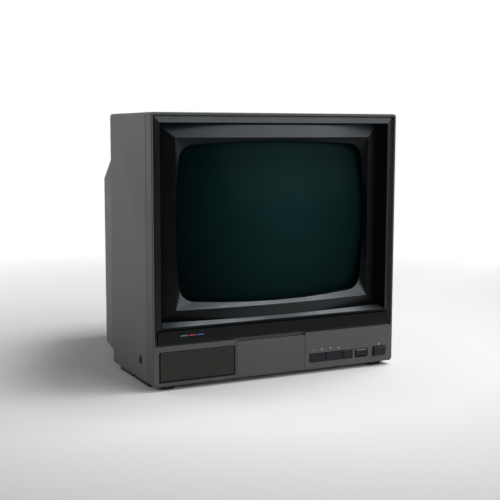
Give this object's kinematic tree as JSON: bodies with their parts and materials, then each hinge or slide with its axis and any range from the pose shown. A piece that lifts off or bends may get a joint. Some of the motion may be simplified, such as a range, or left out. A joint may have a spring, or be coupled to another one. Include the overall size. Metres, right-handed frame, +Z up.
{
  "type": "portable television",
  "caption": "Portable colour television with a bowed glass screen, dark bezel, speaker grille, drop-down control flap, press keys and a stepped rear cover over its cathode ray tube.",
  "frame": {"origin": "middle of the set's bounding box, on the plane that its feet rest on", "axes": "+X to the viewer's right, +Y from the screen to the back, +Z up"},
  "size_m": [0.36, 0.371, 0.3513],
  "materials": {
    "cabinet_grey": "fine spark texture",
    "bezel_charcoal": "fine spark texture",
    "gloss_black": "polished",
    "grille_brown": "satin",
    "key_grey": "satin",
    "sensor_tint": "polished, dark purple",
    "rubber_black": "matt",
    "tube_glass": "polished, dark tint",
    "plated_steel": "zinc plated",
    "mask_steel": "blackened",
    "copper_winding": "lacquered copper wire",
    "ferrite": "sintered",
    "board_tan": "paper laminate",
    "moulding_ivory": "satin",
    "aluminium": "mill finish",
    "cone_paper": "felted",
    "lead_red": "silicone sleeve"
  },
  "bodies": {
    "cabinet": {"aerial_socket": "plated_steel", "anode_cap": "rubber_black", "anode_lead": "lead_red", "chassis_frame": "moulding_ivory", "control_board": "board_tan", "cord_gland": "rubber_black", "cover_screw_lower_left": "plated_steel", "cover_screw_lower_right": "plated_steel", "cover_screw_upper_left": "plated_steel", "cover_screw_upper_right": "plated_steel", "crt_base": "moulding_ivory", "crt_funnel": "tube_glass", "crt_panel": "tube_glass", "crt_socket": "moulding_ivory", "degauss_coil": "rubber_black", "earphone_socket": "rubber_black", "electron_gun": "plated_steel", "front_cabinet": "cabinet_grey", "front_foot_left": "rubber_black", "front_foot_right": "rubber_black", "heat_sink": "aluminium", "key_frame": "moulding_ivory", "line_transformer": "rubber_black", "lower_saddle_coil": "copper_winding", "magnet_sleeve": "moulding_ivory", "main_board": "board_tan", "mains_switch": "rubber_black", "neck_board": "board_tan", "power_transformer": "copper_winding", "rear_cover": "cabinet_grey", "rear_foot_left": "rubber_black", "rear_foot_right": "rubber_black", "reservoir_capacitor": "aluminium", "rim_band": "plated_steel", "screen_bezel": "bezel_charcoal", "sensor_window": "sensor_tint", "shadow_mask": "mask_steel", "speaker_basket": "plated_steel", "speaker_cone": "cone_paper", "speaker_grille": "grille_brown", "trim_strip": "gloss_black", "tube_screw_lower_left": "plated_steel", "tube_screw_lower_right": "plated_steel", "tube_screw_upper_left": "plated_steel", "tube_screw_upper_right": "plated_steel", "tuner": "aluminium", "upper_saddle_coil": "copper_winding", "yoke_core": "ferrite", "yoke_liner": "moulding_ivory"},
    "flap": {"control_flap": "cabinet_grey"},
    "power": {"power_button": "key_grey"},
    "volume": {"volume_rocker": "key_grey"},
    "programme": {"programme_rocker": "key_grey"},
    "function": {"function_key": "key_grey"},
    "brightness": {"brightness_knob": "bezel_charcoal"},
    "contrast": {"contrast_knob": "bezel_charcoal"},
    "colour": {"colour_knob": "bezel_charcoal"},
    "purity": {"purity_ring": "ferrite"},
    "four_pole": {"four_pole_ring": "ferrite"},
    "six_pole": {"six_pole_ring": "ferrite"}
  },
  "joints": [
    {"name": "flap_hinge", "type": "hinge", "parent": "cabinet", "child": "flap", "pos_m": [-0.012, -0.17945, 0.0088], "axis": [1, 0, 0], "range_deg": [0, 90]},
    {"name": "power_press", "type": "slide", "parent": "cabinet", "child": "power", "axis": [0, 1, 0], "range_m": [0, 0.0028], "stiffness_N_per_m": 600, "springref_m": -0.002},
    {"name": "volume_rock", "type": "hinge", "parent": "cabinet", "child": "volume", "pos_m": [0.0592, -0.17745, 0.0216], "axis": [0, 0, 1], "range_deg": [-2.5, 2.5], "stiffness_Nm_per_rad": 0.4},
    {"name": "programme_rock", "type": "hinge", "parent": "cabinet", "child": "programme", "pos_m": [0.0853, -0.17745, 0.0216], "axis": [0, 0, 1], "range_deg": [-2.5, 2.5], "stiffness_Nm_per_rad": 0.4},
    {"name": "function_press", "type": "slide", "parent": "cabinet", "child": "function", "axis": [0, 1, 0], "range_m": [0, 0.0009], "stiffness_N_per_m": 1200, "springref_m": -0.0006},
    {"name": "brightness_turn", "type": "hinge", "parent": "cabinet", "child": "brightness", "pos_m": [-0.04, -0.16835, 0.03255], "axis": [0, 1, 0], "range_deg": [-140, 140]},
    {"name": "contrast_turn", "type": "hinge", "parent": "cabinet", "child": "contrast", "pos_m": [-0.012, -0.16835, 0.03255], "axis": [0, 1, 0], "range_deg": [-140, 140]},
    {"name": "colour_turn", "type": "hinge", "parent": "cabinet", "child": "colour", "pos_m": [0.016, -0.16835, 0.03255], "axis": [0, 1, 0], "range_deg": [-140, 140]},
    {"name": "purity_turn", "type": "hinge", "parent": "cabinet", "child": "purity", "pos_m": [0, 0.05505, 0.21], "axis": [0, 1, 0], "range_deg": [-40, 40]},
    {"name": "four_pole_turn", "type": "hinge", "parent": "cabinet", "child": "four_pole", "pos_m": [0, 0.05875, 0.21], "axis": [0, 1, 0], "range_deg": [-40, 40]},
    {"name": "six_pole_turn", "type": "hinge", "parent": "cabinet", "child": "six_pole", "pos_m": [0, 0.06245, 0.21], "axis": [0, 1, 0], "range_deg": [-40, 40]}
  ]
}
